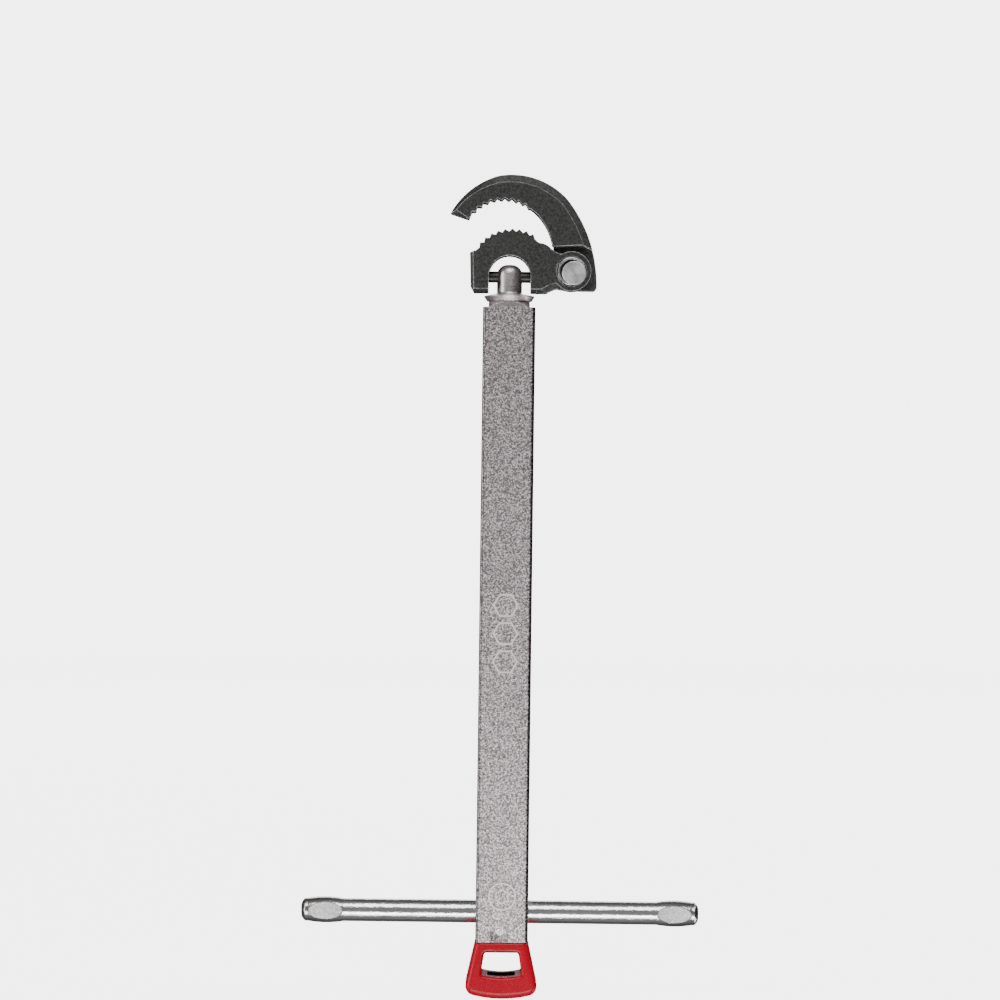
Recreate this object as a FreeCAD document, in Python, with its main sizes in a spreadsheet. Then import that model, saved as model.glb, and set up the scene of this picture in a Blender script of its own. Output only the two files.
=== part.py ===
import FreeCAD, Part
import math
import os
import re

import Sketcher

# A telescoping basin wrench, standing on its drive loop. Millimetres, +Z up the shank,
# +X along the T-bar towards the jaws' hinge, -Y towards the face with the hinge pin's head.
# The origin is at the bottom of the drive loop, on the shank's axis.

DRIVING_DIMENSIONS = {
    # drive loop
    "loop_height": 19.8,
    "loop_top_width": 18.2,
    "loop_foot_radius": 42.0,
    "loop_foot_turn": 13.5,
    "loop_corner": 3.4,
    "loop_top_depth": 18.3,
    "loop_foot_depth": 19.2,
    "loop_edge_round": 2.2,
    "window_top": 16.1,
    "window_bottom": 8.2,
    "window_top_width": 12.1,
    "window_bottom_width": 13.9,
    "window_floor_radius": 28.6,
    "window_corner": 0.9,
    "window_round": 1.2,
    "grip_skin": 1.2,
    "drive_side": 9.6,
    "core_depth": 15.6,
    # outer tube
    "tube_length": 220.8,
    "tube_side": 18.3,
    "tube_corner": 1.3,
    "stake_radius": 6.6,
    "stake_depth": 1.0,
    "stake_height": 2.6,
    # sliding bar
    "bar_side": 14.4,
    "bar_corner": 0.9,
    "slide_gap": 0.08,
    "bar_bottom": 49.0,
    "cone_base": 9.9,
    "cone_height": 2.2,
    "neck_radius": 6.6,
    "flange_radius": 8.75,
    "flange_bottom": 2.4,
    "flange_rim": 4.0,
    "flange_top": 5.0,
    "post_radius": 4.4,
    "post_top": 15.2,
    "post_round": 3.5,
    "pivot_rise": 10.9,
    # what holds the bar in the tube
    "detent_height": 56.0,
    "stop_pitch": 38.0,
    "stop_count": 5,
    "detent_hole": 4.2,
    "track_width": 3.6,
    "track_depth": 0.4,
    "ball_radius": 2.5,
    "ball_bore": 5.1,
    "ball_bore_depth": 9.0,
    "detent_wire": 0.5,
    "stop_pin_radius": 2.0,
    "stop_pin_drop": 7.8,
    "stop_pin_reach": 1.9,
    "groove_width": 4.2,
    "groove_depth": 2.2,
    # T-bar
    "tbar_height": 29.5,
    "tbar_radius": 4.0,
    "tbar_length": 138.8,
    "tbar_shift": -0.7,
    "tbar_gap": 0.08,
    "tbar_dome": 1.4,
    "pinch_place": 60.9,
    "pinch_length": 12.4,
    "pinch_depth": 0.62,
    "pinch_bulge": 4.55,
    "plug_top": 47.0,
    "tbar_ball_radius": 1.6,
    "tbar_ball_bore": 3.3,
    "screw_radius": 2.5,
    "screw_length": 4.0,
    "screw_socket": 2.5,
    "tbar_wire": 0.45,
    # both jaws, measured from the head's pivot pin
    "jaw_thickness": 9.0,
    "tongue_thickness": 3.6,
    "tongue_gap": 0.1,
    "hinge_x": 22.4,
    "hinge_z": 1.3,
    "tooth_depth": 1.0,
    # heel jaw
    "window_half": 7.3,
    "heel_foot": -5.7,
    "heel_left": -14.0,
    "arm_start": 13.1,
    "eye_x": 21.6,
    "eye_z": 2.1,
    "eye_radius": 6.9,
    "heel_arc_x": 0.68,
    "heel_arc_z": 1.8,
    "heel_arc_radius": 15.0,
    "heel_tooth_start": 60.4,
    "heel_tooth_pitch": 9.78,
    "heel_tooth_count": 9,
    "heel_lean_start": 0.4,
    "heel_lean_end": 0.56,
    "heel_bevel": 1.1,
    "arm_top_x": 13.3,
    "arm_top_z": 10.95,
    "slot_radius": 12.2,
    "leg_round": 6.2,
    "leg_round_end": 9.4,
    # hook jaw
    "hook_arc_x": -2.2,
    "hook_arc_z": 12.65,
    "hook_arc_radius": 13.95,
    "hook_tooth_start": 52.6,
    "hook_tooth_pitch": 10.2,
    "hook_tooth_count": 9,
    "hook_lean_start": 0.72,
    "hook_lean_end": 0.46,
    "hook_crest": 35.2,
    "hook_tip_x": -20.9,
    "hook_tip_z": 21.9,
    "hook_face_x": 25.5,
    "hook_back_x": -17.8,
    "hook_back_z": -2.9,
    "hook_back_radius": 48.3,
    "hook_top_radius": 26.3,
    "hook_tip_radius": 28.0,
    "hook_inner_radius": 19.3,
    "hook_corner": 1.6,
    "bevel_depth": 1.5,
    "bevel_width": 2.6,
    "step_height": 10.8,
    # jaw hinge
    "recess_shift": 1.1,
    "recess_radius": 5.2,
    "ear_floor": 0.7,
    "shank_radius": 2.3,
    "shoulder_radius": 2.7,
    "hinge_gap": 0.06,
    "pin_head_radius": 4.2,
    "pin_head_height": 2.0,
    "pin_head_gap": 0.65,
    "washer_radius": 4.4,
    "washer_thickness": 1.0,
    "rivet_radius": 3.3,
    "rivet_height": 1.3,
    "spring_wire": 1.1,
    "spring_pitch": 1.13,
    "spring_radius": 4.5,
    "leg_angle": -42.0,
    "anchor_angle": 135.0,
    "anchor_length": 1.8,
    "leg_play": 0.2,
    # head pivot pin
    "pivot_radius": 2.0,
    "pivot_left": -13.7,
    "pivot_right": 9.6,
    "pivot_gap": 0.05,
}

# sizes that follow from the driving ones
DERIVED_DIMENSIONS = {
    "bore_side": "bar_side + 2 * slide_gap",
    "tube_top": "loop_height + tube_length",
    "pivot_height": "tube_top + pivot_rise",
    "tube_half": "tube_side / 2",
    "bar_half": "bar_side / 2",
    "jaw_half": "jaw_thickness / 2",
    "tongue_half": "tongue_thickness / 2",
    "slot_half": "tongue_half + tongue_gap",
    "recess_floor": "slot_half + ear_floor",
    "stop_pin_height": "tube_top - stop_pin_drop",
    "bar_travel": "stop_pitch * (stop_count - 1)",
    "tbar_hole_radius": "tbar_radius + tbar_gap",
    "ball_centre": "bar_half + slide_gap + track_depth - 0.1 - ball_radius",
    "ball_bore_floor": "bar_half - ball_bore_depth",
    "tbar_ball_height": "tbar_height + tbar_radius + tbar_ball_radius",
    "screw_bottom": "plug_top - screw_length",
    "facet_length": "pinch_length - 0.3",
    "facet_radius": "(facet_length^2 / 4 + pinch_depth^2) / (2 * pinch_depth)",
    "pinch_rise": "pinch_bulge - tbar_radius",
    "bulge_radius": "(pinch_length^2 / 4 + pinch_rise^2) / (2 * pinch_rise)",
    "corner_x": "(loop_foot_radius - loop_corner) * sin(loop_foot_turn)",
    "corner_z": "loop_foot_radius - (loop_foot_radius - loop_corner) * cos(loop_foot_turn)",
    "loop_run": "loop_top_width / 2 - corner_x",
    "loop_climb": "loop_height - corner_z",
    "side_angle": "atan2(loop_climb; loop_run) - acos(loop_corner / hypot(loop_climb; loop_run))",
    "recess_x": "hinge_x - recess_shift * cos(leg_angle)",
    "recess_z": "hinge_z - recess_shift * sin(leg_angle)",
    "leg_radius": "spring_radius - recess_shift",
    "spring_turns": "1 + (anchor_angle - leg_angle) / 360",
}

doc = FreeCAD.newDocument("basin_wrench")
sheet = doc.addObject("Spreadsheet::Sheet", "Sizes")


def fill_sheet():
    """Writes the driving sizes as numbers and the derived ones as formulas, with their aliases."""
    row = 0
    for alias, size in DRIVING_DIMENSIONS.items():
        row += 1
        sheet.set(f"A{row}", alias)
        sheet.set(f"B{row}", str(size))
        sheet.setAlias(f"B{row}", alias)
    for alias, formula in DERIVED_DIMENSIONS.items():
        row += 1
        sheet.set(f"A{row}", alias)
        sheet.set(f"B{row}", "=" + formula)
        sheet.setAlias(f"B{row}", alias)
    doc.recompute()


fill_sheet()


def cells(expression):
    """The expression with each alias, a word with an underscore, read from the sheet."""
    return re.sub(r"\b[a-z]+_\w+", lambda found: "Sizes." + found.group(), str(expression))


def number(expression):
    return float(sheet.evalExpression(cells(expression)))


def bind(item, **sizes):
    """Binds an object's properties to expressions on the sheet."""
    for name, expression in sizes.items():
        item.setExpression(name, cells(expression))


def place(item, x=0, y=0, z=0, axis=None, angle=0):
    """Puts an object at a bound place, turned by an angle about an axis."""
    if axis:
        turn = FreeCAD.Rotation(FreeCAD.Vector(*axis), angle)
        item.Placement = FreeCAD.Placement(FreeCAD.Vector(), turn)
    for direction, expression in zip("xyz", (x, y, z)):
        item.setExpression(f".Placement.Base.{direction}", cells(expression))


def new_body(label, height=0):
    """A body whose own axes sit at the given height above the origin."""
    body = doc.addObject("PartDesign::Body", label)
    body.Label = label
    if height:
        place(body, z=height)
    return body


def origin(body, role):
    return next(item for item in body.Origin.OriginFeatures if item.Role == role)


def new_sketch(body, name, plane="XY_Plane", shift=(0, 0, 0)):
    """A sketch on one of the body's own planes, shifted along the plane's x, y and normal."""
    sketch = body.newObject("Sketcher::SketchObject", f"{body.Name}_{name}")
    sketch.AttachmentSupport = [(origin(body, plane), "")]
    sketch.MapMode = "FlatFace"
    for direction, expression in zip("xyz", shift):
        sketch.setExpression(f".AttachmentOffset.Base.{direction}", cells(expression))
    return sketch


def fix_point(sketch, geometry, point, x, y):
    """Ties a point of the sketch to bound distances from the sketch's origin."""
    for kind, expression in (("DistanceX", x), ("DistanceY", y)):
        tie = Sketcher.Constraint(kind, -1, 1, geometry, point, number(expression))
        index = sketch.addConstraint(tie)
        sketch.setExpression(f"Constraints[{index}]", cells(expression))


def fix_radius(sketch, geometry, radius):
    index = sketch.addConstraint(Sketcher.Constraint("Radius", geometry, number(radius)))
    sketch.setExpression(f"Constraints[{index}]", cells(radius))


def circle(sketch, x, y, radius):
    centre = FreeCAD.Vector(number(x), number(y), 0)
    ring = Part.Circle(centre, FreeCAD.Vector(0, 0, 1), number(radius))
    geometry = sketch.addGeometry(ring)
    fix_point(sketch, geometry, 3, x, y)
    fix_radius(sketch, geometry, radius)


def arc_between(start, end, radius, turn):
    """The arc of less than a half turn from start to end, with its centre to the given side."""
    chord = end - start
    rise = max(radius**2 - chord.Length**2 / 4, 0) ** 0.5
    side = 1 if turn == "left" else -1
    sideways = FreeCAD.Vector(-chord.y, chord.x, 0).normalize() * rise * side
    centre = (start + end) / 2 + sideways
    first, last = (start, end) if turn == "left" else (end, start)
    ring = Part.Circle(centre, FreeCAD.Vector(0, 0, 1), radius)
    return Part.ArcOfCircle(ring, ring.parameter(first), ring.parameter(last))


def outline(sketch, corners):
    """A closed outline. A corner is its x and y and, where an arc leaves it, the arc's radius
    and the side it turns to, left or right."""
    points = [FreeCAD.Vector(number(corner[0]), number(corner[1]), 0) for corner in corners]
    begins, ends = [], []
    for index, corner in enumerate(corners):
        start, end = points[index], points[(index + 1) % len(points)]
        if len(corner) == 2:
            geometry = sketch.addGeometry(Part.LineSegment(start, end))
            begins.append((geometry, 1))
            ends.append((geometry, 2))
        else:
            arc = arc_between(start, end, number(corner[2]), corner[3])
            geometry = sketch.addGeometry(arc)
            left = corner[3] == "left"
            begins.append((geometry, 1 if left else 2))
            ends.append((geometry, 2 if left else 1))
    for index, corner in enumerate(corners):
        joint = Sketcher.Constraint("Coincident", *ends[index - 1], *begins[index])
        sketch.addConstraint(joint)
        fix_point(sketch, *begins[index], corner[0], corner[1])
    for index, corner in enumerate(corners):
        if len(corner) > 2:
            fix_radius(sketch, begins[index][0], corner[2])


def rounded_square(sketch, side, corner):
    """A square about the sketch's origin, with round corners."""
    far, near = f"({side}) / 2", f"(({side}) / 2 - {corner})"
    outline(
        sketch,
        [
            (f"-{near}", f"-{far}"),
            (near, f"-{far}", corner, "left"),
            (far, f"-{near}"),
            (far, near, corner, "left"),
            (near, far),
            (f"-{near}", far, corner, "left"),
            (f"-{far}", near),
            (f"-{far}", f"-{near}", corner, "left"),
        ],
    )


def extrude(body, kind, sketch, length, symmetric=False, reverse=False):
    """Pads or pockets a sketch. A pocket's depth is measured against the sketch's normal."""
    feature = body.newObject(f"PartDesign::{kind}", f"{sketch.Name}_{kind}")
    feature.Profile = sketch
    if symmetric:
        feature.SideType = "Symmetric"
    feature.Reversed = reverse
    bind(feature, Length=length)
    sketch.Visibility = False
    doc.recompute()
    return feature


def pad(body, sketch, length, **options):
    return extrude(body, "Pad", sketch, length, **options)


def pocket(body, sketch, length, **options):
    return extrude(body, "Pocket", sketch, length, **options)


def turned(body, kind, sketch, axis):
    """A Revolution or a Groove of the sketch, a full turn about one of the sketch's axes."""
    feature = body.newObject(f"PartDesign::{kind}", f"{sketch.Name}_{kind}")
    feature.Profile = sketch
    feature.ReferenceAxis = (sketch, [axis])
    feature.Angle = 360
    doc.recompute()
    return feature


def mirrored(body, features, plane):
    mirror = body.newObject("PartDesign::Mirrored", f"{body.Name}_mirror_{len(body.Group)}")
    mirror.Originals = features
    mirror.MirrorPlane = (origin(body, plane), [""])
    body.Tip = mirror
    doc.recompute()
    return mirror


def edge_names(feature, wanted):
    """The names of the feature's edges that pass the test."""
    edges = enumerate(feature.Shape.Edges, 1)
    return [f"Edge{index}" for index, edge in edges if wanted(edge)]


def fillet(body, base, names, radius):
    feature = body.newObject("PartDesign::Fillet", f"{body.Name}_fillet_{len(body.Group)}")
    feature.Base = (base, names)
    bind(feature, Radius=radius)
    doc.recompute()
    return feature


def chamfer(body, base, names, size):
    feature = body.newObject("PartDesign::Chamfer", f"{body.Name}_chamfer_{len(body.Group)}")
    feature.Base = (base, names)
    bind(feature, Size=size)
    doc.recompute()
    return feature


def cut_bevel(body, name, face, foot):
    """A bevel of changing width on the front, and the same on the back. It is lofted between what
    it takes off the face and what it takes off at its depth; both have as many corners."""
    line = new_sketch(body, f"{name}_line", "XZ_Plane", shift=(0, 0, "jaw_half"))
    outline(line, face)
    deep = new_sketch(body, f"{name}_foot", "XZ_Plane", shift=(0, 0, "jaw_half - bevel_depth"))
    outline(deep, foot)
    loft = body.newObject("PartDesign::SubtractiveLoft", f"{body.Name}_{name}")
    loft.Profile = line
    loft.Sections = [deep]
    loft.Ruled = True
    body.Tip = loft
    doc.recompute()
    return mirrored(body, [loft], "XZ_Plane")


def coil(label, radius, wire, height, turns, **where):
    """A wound spring along its own Z, the height being between the wire's first and last centres."""
    spine = doc.addObject("Part::Helix", f"{label}_helix")
    bind(spine, Radius=radius, Height=height, Pitch=f"({height}) / {turns}")
    section = doc.addObject("Part::Circle", f"{label}_section")
    section.Placement.Rotation = FreeCAD.Rotation(FreeCAD.Vector(1, 0, 0), 90)
    bind(section, Radius=f"({wire}) / 2")
    section.setExpression(".Placement.Base.x", cells(radius))
    doc.recompute()
    spring = doc.addObject("Part::Sweep", label)
    spring.Sections = [section]
    spring.Spine = (spine, [f"Edge{index + 1}" for index in range(len(spine.Shape.Edges))])
    spring.Solid = True
    spring.Frenet = True
    if where:
        place(spring, **where)
    return spring


def build_outer_tube():
    body = new_body("outer_tube")
    section = new_sketch(body, "section", shift=(0, 0, "loop_height"))
    rounded_square(section, "tube_side", "tube_corner")
    pad(body, section, "tube_length")
    bore = new_sketch(body, "bore", shift=(0, 0, "loop_height"))
    rounded_square(bore, "bore_side", "bar_corner")
    pocket(body, bore, "3 * tube_length", symmetric=True)
    cross_hole = new_sketch(body, "tbar_hole", "YZ_Plane")
    circle(cross_hole, 0, "tbar_height", "tbar_hole_radius")
    pocket(body, cross_hole, "2 * tube_side", symmetric=True)
    # a row of stop holes through the back wall
    stop = new_sketch(body, "stop_hole", "XZ_Plane")
    circle(stop, 0, "detent_height", "detent_hole / 2")
    hole = pocket(body, stop, "tube_side")
    row = body.newObject("PartDesign::LinearPattern", "outer_tube_stops")
    row.Originals = [hole]
    row.Direction = (origin(body, "Z_Axis"), [""])
    bind(row, Length="bar_travel", Occurrences="stop_count")
    body.Tip = row
    doc.recompute()
    pin_hole = new_sketch(body, "stop_pin_hole", "XZ_Plane")
    circle(pin_hole, 0, "stop_pin_height", "stop_pin_radius")
    pocket(body, pin_hole, "tube_side")
    # the shallow track that the detent ball rolls in, inside the back wall
    track = new_sketch(body, "ball_track", "XZ_Plane", shift=(0, 0, "-bore_side / 2"))
    low, high = "(detent_height - 6)", "(detent_height + bar_travel + 6)"
    outline(
        track,
        [
            ("-track_width / 2", low),
            ("track_width / 2", low),
            ("track_width / 2", high),
            ("-track_width / 2", high),
        ],
    )
    pocket(body, track, "2 * track_depth", symmetric=True)
    # the wall is staked into the plug near its lower end, front and back
    stake = body.newObject("PartDesign::SubtractiveSphere", "outer_tube_stake")
    bind(stake, Radius="stake_radius")
    place(
        stake,
        x="-0.6",
        y="-tube_half - stake_radius + stake_depth",
        z="loop_height + stake_height",
    )
    doc.recompute()
    mirrored(body, [stake], "XZ_Plane")
    return body


def build_extension_bar():
    body = new_body("extension_bar")
    section = new_sketch(body, "section", shift=(0, 0, "bar_bottom"))
    rounded_square(section, "bar_side", "bar_corner")
    pad(body, section, "tube_top + flange_bottom - 0.1 - bar_bottom")
    # the top of the square is turned to a cone, which leaves an arch on each flat
    cone = new_sketch(body, "cone", "XZ_Plane")
    slope = "cone_height / (cone_base - bar_half)"
    outline(
        cone,
        [
            ("bar_half - 0.3", f"tube_top + cone_height + 0.3 * {slope}"),
            ("cone_base + 3", f"tube_top - 3 * {slope}"),
            ("cone_base + 3", "tube_top + 6"),
            ("bar_half - 0.3", "tube_top + 6"),
        ],
    )
    turned(body, "Groove", cone, "V_Axis")
    head = new_sketch(body, "head", "XZ_Plane")
    top = "(tube_top + post_top)"
    outline(
        head,
        [
            (0, "tube_top + flange_bottom - 1"),
            ("neck_radius", "tube_top + flange_bottom - 1"),
            ("neck_radius", "tube_top + flange_bottom"),
            ("flange_radius - 0.9", "tube_top + flange_bottom"),
            ("flange_radius", "tube_top + flange_rim - 0.2", "0.3", "left"),
            ("flange_radius - 0.1", "tube_top + flange_rim + 0.25"),
            ("post_radius + 0.8", "tube_top + flange_top - 0.1", "0.8", "right"),
            ("post_radius", "tube_top + flange_top + 0.7"),
            ("post_radius", f"{top} - post_round", "post_round", "left"),
            ("post_radius - post_round", top),
            (0, top),
        ],
    )
    turned(body, "Revolution", head, "V_Axis")
    pin_hole = new_sketch(body, "pivot_hole", "YZ_Plane")
    circle(pin_hole, 0, "pivot_height", "pivot_radius + pivot_gap")
    pocket(body, pin_hole, "4 * post_radius", symmetric=True)
    # the stop pin runs in this groove in the back face
    groove = new_sketch(body, "stop_groove", "XZ_Plane", shift=(0, 0, "-bar_half"))
    half, low = "groove_width / 2", "(stop_pin_height - bar_travel)"
    outline(
        groove,
        [
            (f"-{half}", low, f"{half} * 1.0001", "left"),
            (0, f"{low} - {half}", f"{half} * 1.0001", "left"),
            (half, low),
            (half, "stop_pin_height", f"{half} * 1.0001", "left"),
            (0, f"stop_pin_height + {half}", f"{half} * 1.0001", "left"),
            (f"-{half}", "stop_pin_height"),
        ],
    )
    pocket(body, groove, "2 * groove_depth", symmetric=True)
    ball_bore = new_sketch(body, "ball_bore", "XZ_Plane", shift=(0, 0, "-ball_bore_floor"))
    circle(ball_bore, 0, "detent_height", "ball_bore / 2")
    pocket(body, ball_bore, "ball_bore_depth + 1")
    return body


def build_detent():
    ball = doc.addObject("Part::Sphere", "detent_ball")
    bind(ball, Radius="ball_radius")
    place(ball, y="ball_centre", z="detent_height")
    length = "(ball_centre - ball_radius - ball_bore_floor - detent_wire - 0.04)"
    spring = coil(
        "detent_spring",
        "ball_bore / 2 - 0.15 - detent_wire / 2",
        "detent_wire",
        length,
        5,
        y="ball_bore_floor + 0.02 + detent_wire / 2",
        z="detent_height",
        axis=(1, 0, 0),
        angle=-90,
    )
    pin = doc.addObject("Part::Cylinder", "stop_pin")
    bind(
        pin,
        Radius="stop_pin_radius",
        Height="tube_half - bore_side / 2 + stop_pin_reach",
    )
    place(
        pin,
        y="bore_side / 2 - stop_pin_reach",
        z="stop_pin_height",
        axis=(1, 0, 0),
        angle=-90,
    )
    return [ball, spring, pin]


def build_t_bar():
    """A rod with both ends squeezed flat from front and back, so they swell and can't pass."""
    body = new_body("t_bar", "tbar_height")
    rod = new_sketch(body, "rod", "XZ_Plane")
    left, right = "(tbar_shift - tbar_length / 2)", "(tbar_shift + tbar_length / 2)"
    crown, dome = "(tbar_radius - tbar_dome * 1.4)", "(tbar_dome * 2.3)"
    swelling = "bulge_radius", "left"
    outline(
        rod,
        [
            (left, 0),
            (right, 0),
            (right, crown, dome, "left"),
            (f"{right} - tbar_dome", "tbar_radius"),
            ("tbar_shift + pinch_place + pinch_length / 2", "tbar_radius", *swelling),
            ("tbar_shift + pinch_place - pinch_length / 2", "tbar_radius"),
            ("tbar_shift - pinch_place + pinch_length / 2", "tbar_radius", *swelling),
            ("tbar_shift - pinch_place - pinch_length / 2", "tbar_radius"),
            (f"{left} + tbar_dome", "tbar_radius", dome, "left"),
            (left, crown),
        ],
    )
    turned(body, "Revolution", rod, "H_Axis")
    dies = new_sketch(body, "dies", "XY_Plane")
    for side in (-1, 1):
        for face in (-1, 1):
            circle(
                dies,
                f"tbar_shift + {side} * pinch_place",
                f"{face} * (tbar_radius - pinch_depth + facet_radius)",
                "facet_radius",
            )
    pocket(body, dies, "4 * tbar_radius", symmetric=True)
    return body


def build_t_bar_friction():
    """A ball pressed on the T-bar by a spring, held by a set screw in the top of the plug."""
    ball = doc.addObject("Part::Sphere", "t_bar_ball")
    bind(ball, Radius="tbar_ball_radius")
    place(ball, z="tbar_ball_height")
    low = "(tbar_ball_height + tbar_ball_radius + tbar_wire / 2 + 0.02)"
    spring = coil(
        "t_bar_spring",
        "tbar_ball_bore / 2 - 0.15 - tbar_wire / 2",
        "tbar_wire",
        f"(screw_bottom - tbar_wire / 2 - 0.02 - {low})",
        4,
        z=low,
    )
    screw = new_body("t_bar_set_screw", "screw_bottom")
    rod = new_sketch(screw, "rod")
    circle(rod, 0, 0, "screw_radius")
    pad(screw, rod, "screw_length")
    socket = new_sketch(screw, "socket", shift=(0, 0, "screw_length"))
    corner = "screw_socket / sqrt(3)"
    corners = [(f"{corner} * cos({60 * n})", f"{corner} * sin({60 * n})") for n in range(6)]
    outline(socket, corners)
    pocket(screw, socket, "screw_length / 2")
    return [ball, spring, screw]


def loop_outline(inset):
    """The loop seen from the front, drawn in by the inset: straight sides, round corners and a
    bowed foot, each tangent to the next."""
    corner, foot = f"(loop_corner - {inset})", f"(loop_foot_radius - {inset})"
    top = f"(loop_top_width / 2 - {inset} / cos(side_angle))"
    side_x = f"(corner_x + {corner} * cos(side_angle))"
    side_z = f"corner_z + {corner} * sin(side_angle)"
    foot_x = f"({foot} * sin(loop_foot_turn))"
    foot_z = f"loop_foot_radius - {foot} * cos(loop_foot_turn)"
    return [
        (top, "loop_height"),
        (f"-{top}", "loop_height"),
        (f"-{side_x}", side_z, corner, "left"),
        (f"-{foot_x}", foot_z, foot, "left"),
        (foot_x, foot_z, corner, "left"),
        (side_x, side_z),
    ]


def window_outline(grow):
    """The window through the loop, grown by the given amount, with a floor that follows the foot."""
    high, low = f"(window_top + {grow})", f"(window_bottom - {grow})"
    top, bottom = f"(window_top_width / 2 + {grow})", f"(window_bottom_width / 2 + {grow})"
    corner = ("1.05 * window_corner", "left")
    return [
        (f"-{bottom} + window_corner", low, "window_floor_radius", "left"),
        (f"{bottom} - window_corner", low, *corner),
        (bottom, f"{low} + window_corner"),
        (top, f"{high} - window_corner", *corner),
        (f"{top} - window_corner", high),
        (f"-{top} + window_corner", high, *corner),
        (f"-{top}", f"{high} - window_corner"),
        (f"-{bottom}", f"{low} + window_corner", *corner),
    ]


def square_outline(side):
    return [
        (f"-{side} / 2", f"-{side} / 2"),
        (f"{side} / 2", f"-{side} / 2"),
        (f"{side} / 2", f"{side} / 2"),
        (f"-{side} / 2", f"{side} / 2"),
    ]


def build_loop_core():
    """The steel insert: a frame round the window, the square drive hole and the plug."""
    body = new_body("loop_core")
    frame = new_sketch(body, "frame", "XZ_Plane")
    outline(frame, loop_outline("grip_skin"))
    pad(body, frame, "core_depth", symmetric=True)
    plug = new_sketch(body, "plug", shift=(0, 0, "loop_height"))
    rounded_square(plug, "bar_side", "bar_corner")
    pad(body, plug, "plug_top - loop_height")
    window = new_sketch(body, "window", "XZ_Plane")
    outline(window, window_outline("grip_skin * 0.8"))
    pocket(body, window, "3 * core_depth", symmetric=True)
    drive = new_sketch(body, "drive")
    outline(drive, square_outline("drive_side"))
    pocket(body, drive, "2 * window_bottom", symmetric=True)
    cross_hole = new_sketch(body, "tbar_hole", "YZ_Plane")
    circle(cross_hole, 0, "tbar_height", "tbar_hole_radius")
    pocket(body, cross_hole, "2 * tube_side", symmetric=True)
    ball_bore = new_sketch(body, "ball_bore", shift=(0, 0, "plug_top"))
    circle(ball_bore, 0, 0, "tbar_ball_bore / 2")
    pocket(body, ball_bore, "plug_top - tbar_height")
    screw_bore = new_sketch(body, "screw_bore", shift=(0, 0, "plug_top"))
    circle(screw_bore, 0, 0, "screw_radius")
    pocket(body, screw_bore, "screw_length")
    return body


def build_loop_grip():
    """The moulded skin over the steel insert."""
    body = new_body("loop_grip")
    block = new_sketch(body, "block", "XZ_Plane")
    outline(block, loop_outline("0"))
    base = pad(body, block, "loop_foot_depth", symmetric=True)
    # front and back lean in towards the tube
    lean = new_sketch(body, "lean", "YZ_Plane")
    outline(
        lean,
        [
            ("loop_foot_depth / 2", 0),
            ("loop_foot_depth / 2 + 2", 0),
            ("loop_foot_depth / 2 + 2", "loop_height + 2"),
            ("loop_top_depth / 2", "loop_height + 2"),
            ("loop_top_depth / 2", "loop_height"),
        ],
    )
    side = pocket(body, lean, "2 * loop_foot_radius", symmetric=True)
    base = mirrored(body, [side], "XZ_Plane")

    def outer_edge(edge):
        """The edges round the front and back faces, without the top and the crease."""
        box = edge.BoundBox
        outside = min(abs(box.YMin), abs(box.YMax)) > number("loop_top_depth / 2") - 0.05
        level = box.ZLength < 0.01
        return outside and not level

    base = fillet(body, base, edge_names(base, outer_edge), "loop_edge_round")
    window = new_sketch(body, "window", "XZ_Plane")
    outline(window, window_outline("0"))
    base = pocket(body, window, "3 * loop_foot_depth", symmetric=True)

    def window_edge(edge):
        """The edges of the window on the front and back faces."""
        box = edge.BoundBox
        outside = box.YMin * box.YMax > number("loop_top_depth / 2 - 0.1") ** 2
        inside = max(abs(box.XMin), abs(box.XMax)) < number("window_bottom_width / 2 + 0.1")
        return outside and inside and box.ZMin > number("window_bottom") / 2

    fillet(body, base, edge_names(base, window_edge), "window_round")
    # the steel insert fills the inside
    core = new_sketch(body, "core_room", "XZ_Plane")
    outline(core, loop_outline("grip_skin"))
    outline(core, window_outline("grip_skin * 0.8"))
    pocket(body, core, "core_depth", symmetric=True)
    drive = new_sketch(body, "drive")
    outline(drive, square_outline("drive_side"))
    pocket(body, drive, "2 * window_bottom", symmetric=True)
    return body


def saw_teeth(jaw, root):
    """Corners of the teeth round a jaw's arc, from right to left: each tip, then the notch after
    it at the root's radius. The notches lean from one side of their pitch to the other."""
    corners = []
    count = round(number(f"{jaw}_tooth_count"))
    for index in range(count):
        share = f"({jaw}_lean_start + ({jaw}_lean_end - {jaw}_lean_start) * {index} / {count - 1})"
        for radius, step in ((f"{jaw}_arc_radius", index), (root, f"({index} + {share})")):
            angle = f"({jaw}_tooth_start + {jaw}_tooth_pitch * {step})"
            corners.append(
                (
                    f"{jaw}_arc_x + ({radius}) * cos{angle}",
                    f"{jaw}_arc_z + ({radius}) * sin{angle}",
                )
            )
    return corners


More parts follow.
